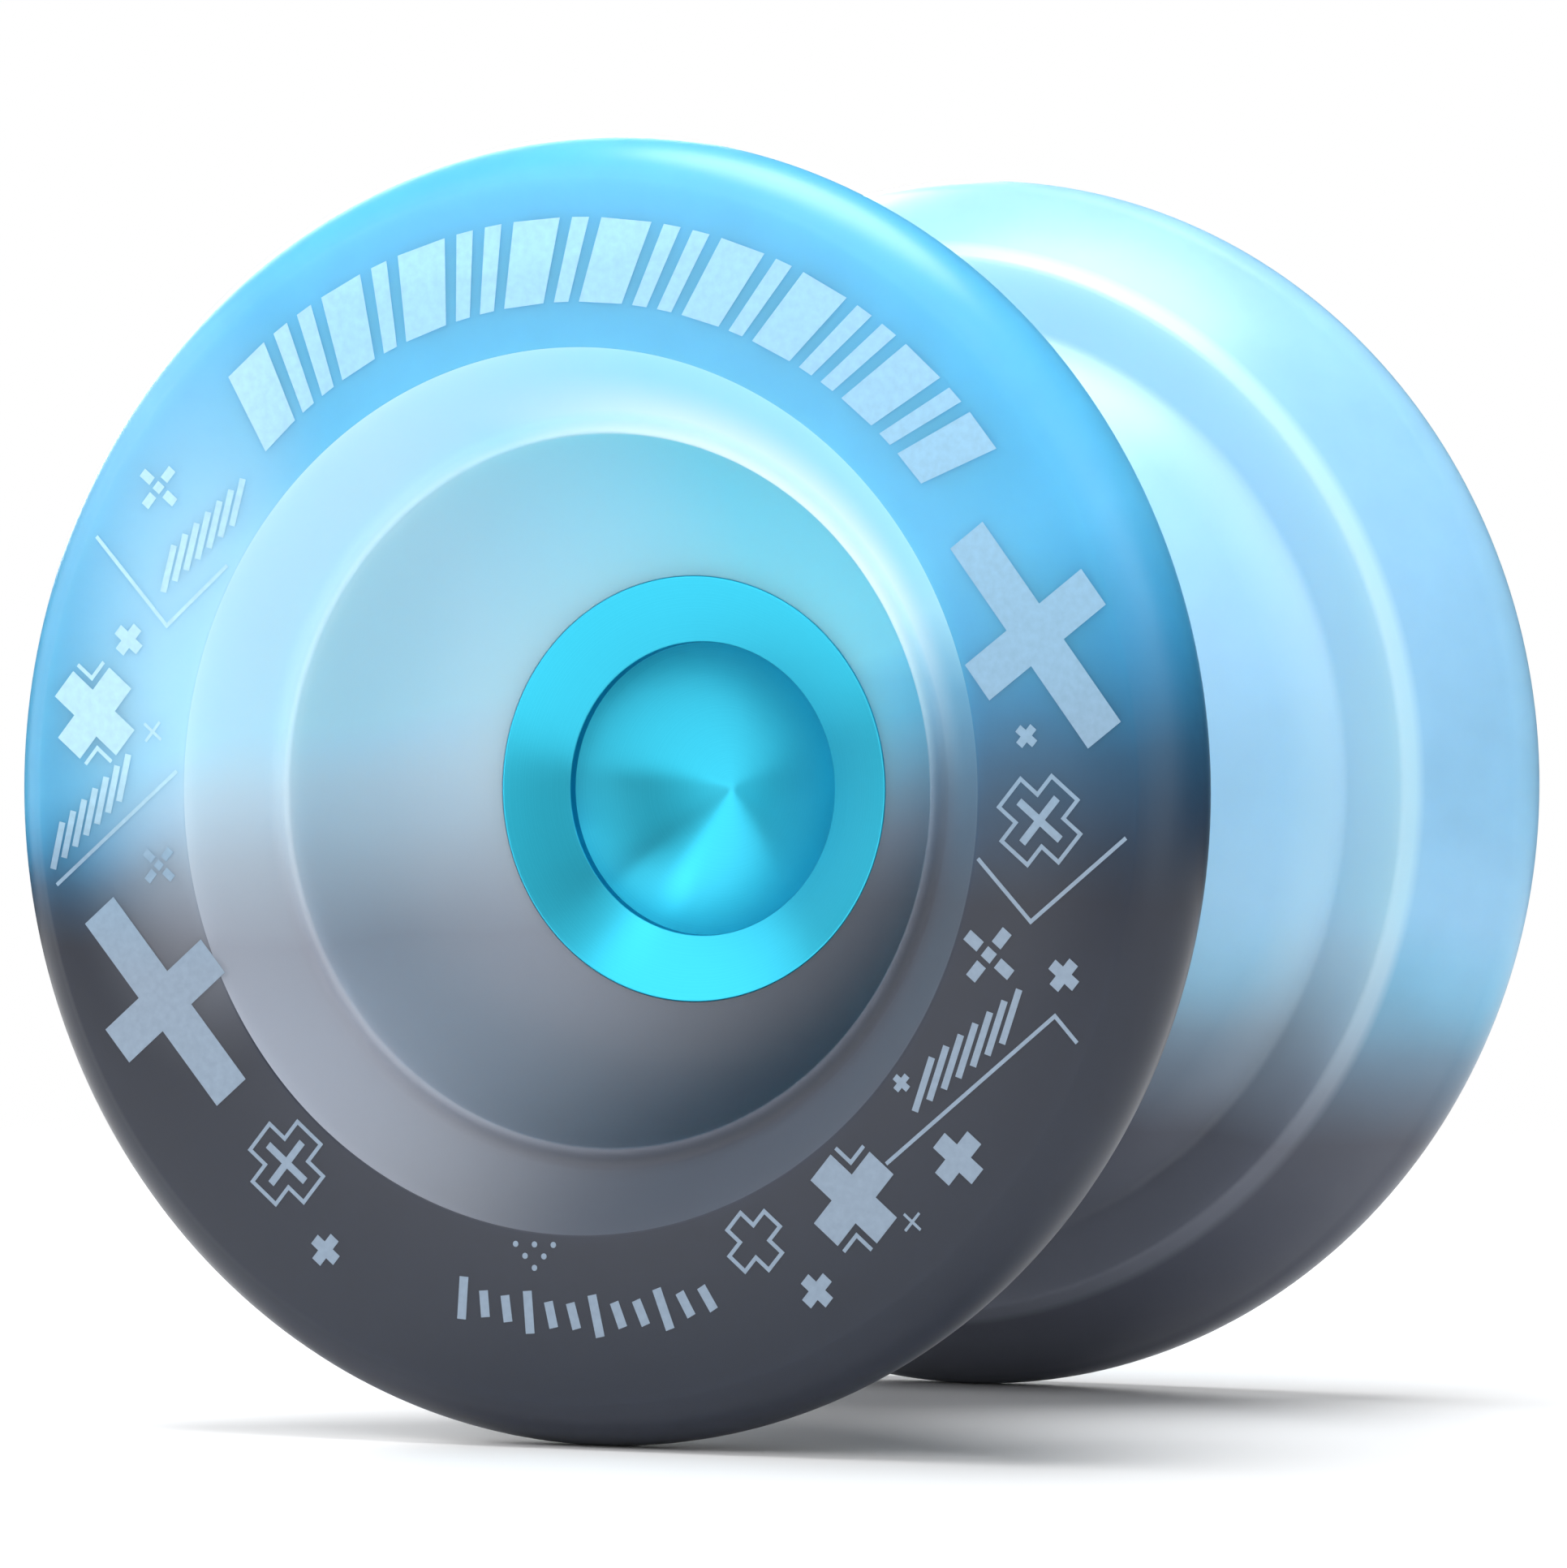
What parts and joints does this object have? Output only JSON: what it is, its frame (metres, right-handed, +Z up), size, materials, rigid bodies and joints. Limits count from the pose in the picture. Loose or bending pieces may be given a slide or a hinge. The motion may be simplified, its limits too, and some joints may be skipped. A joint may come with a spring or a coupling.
{
  "type": "yo-yo",
  "caption": "Wide ball-bearing yo-yo with dyed plastic halves on metal hubs that unscrew from a threaded axle.",
  "frame": {"origin": "centre of the ball bearing, which is the middle of the yo-yo", "axes": "+Y along the spin axis from the front half to the rear half, +Z up"},
  "size_m": [0.056, 0.044, 0.056],
  "materials": {
    "dyed_plastic": "satin polycarbonate, dyed sky blue above and smoky charcoal below",
    "anodised_aluminium": "turned and turquoise anodised",
    "silicone": "matte silicone",
    "steel": "ground and polished",
    "brass": "pressed brass"
  },
  "bodies": {
    "front_half": {"front_shell": "dyed_plastic", "front_hub": "anodised_aluminium", "front_response_pad": "silicone", "axle": "steel"},
    "inner_race": {"bearing_inner_race": "steel"},
    "rear_half": {"rear_shell": "dyed_plastic", "rear_hub": "anodised_aluminium", "rear_response_pad": "silicone"},
    "outer_race": {"bearing_outer_race": "steel", "front_shield": "steel", "front_shield_clip": "steel", "rear_shield": "steel", "rear_shield_clip": "steel"},
    "cage": {"bearing_cage": "brass"},
    "ball_1": {"bearing_ball_1": "steel"},
    "ball_2": {"bearing_ball_2": "steel"},
    "ball_3": {"bearing_ball_3": "steel"},
    "ball_4": {"bearing_ball_4": "steel"},
    "ball_5": {"bearing_ball_5": "steel"},
    "ball_6": {"bearing_ball_6": "steel"},
    "ball_7": {"bearing_ball_7": "steel"},
    "ball_8": {"bearing_ball_8": "steel"}
  },
  "joints": [
    {"name": "bearing_travel", "type": "slide", "parent": "front_half", "child": "inner_race", "axis": [0, 1, 0], "range_m": [0, 0.00455]},
    {"name": "unscrew", "type": "hinge", "parent": "inner_race", "child": "rear_half", "pos_m": [0, 0, 0], "axis": [0, 1, 0], "range_deg": [0, 2340]},
    {"name": "bearing_spin", "type": "hinge", "parent": "inner_race", "child": "outer_race", "pos_m": [0, 0, 0], "axis": [0, 1, 0], "continuous": true},
    {"name": "cage_spin", "type": "hinge", "parent": "inner_race", "child": "cage", "pos_m": [0, 0, 0], "axis": [0, 1, 0], "continuous": true},
    {"name": "ball_spin_1", "type": "hinge", "parent": "cage", "child": "ball_1", "pos_m": [0, 0, 0.00476], "axis": [0, 1, 0], "continuous": true},
    {"name": "ball_spin_2", "type": "hinge", "parent": "cage", "child": "ball_2", "pos_m": [0.00337, 0, 0.00337], "axis": [0, 1, 0], "continuous": true},
    {"name": "ball_spin_3", "type": "hinge", "parent": "cage", "child": "ball_3", "pos_m": [0.00476, 0, 0], "axis": [0, 1, 0], "continuous": true},
    {"name": "ball_spin_4", "type": "hinge", "parent": "cage", "child": "ball_4", "pos_m": [0.00337, 0, -0.00337], "axis": [0, 1, 0], "continuous": true},
    {"name": "ball_spin_5", "type": "hinge", "parent": "cage", "child": "ball_5", "pos_m": [0, 0, -0.00476], "axis": [0, 1, 0], "continuous": true},
    {"name": "ball_spin_6", "type": "hinge", "parent": "cage", "child": "ball_6", "pos_m": [-0.00337, 0, -0.00337], "axis": [0, 1, 0], "continuous": true},
    {"name": "ball_spin_7", "type": "hinge", "parent": "cage", "child": "ball_7", "pos_m": [-0.00476, 0, 0], "axis": [0, 1, 0], "continuous": true},
    {"name": "ball_spin_8", "type": "hinge", "parent": "cage", "child": "ball_8", "pos_m": [-0.00337, 0, 0.00337], "axis": [0, 1, 0], "continuous": true}
  ],
  "couplings": [
    {"joint": "bearing_travel", "follows": "unscrew", "m_per_rad": 0.00011141},
    {"joint": "cage_spin", "follows": "bearing_spin", "ratio": 0.58336},
    {"joint": "ball_spin_1", "follows": "bearing_spin", "ratio": 2.9157},
    {"joint": "ball_spin_2", "follows": "bearing_spin", "ratio": 2.9157},
    {"joint": "ball_spin_3", "follows": "bearing_spin", "ratio": 2.9157},
    {"joint": "ball_spin_4", "follows": "bearing_spin", "ratio": 2.9157},
    {"joint": "ball_spin_5", "follows": "bearing_spin", "ratio": 2.9157},
    {"joint": "ball_spin_6", "follows": "bearing_spin", "ratio": 2.9157},
    {"joint": "ball_spin_7", "follows": "bearing_spin", "ratio": 2.9157},
    {"joint": "ball_spin_8", "follows": "bearing_spin", "ratio": 2.9157}
  ]
}
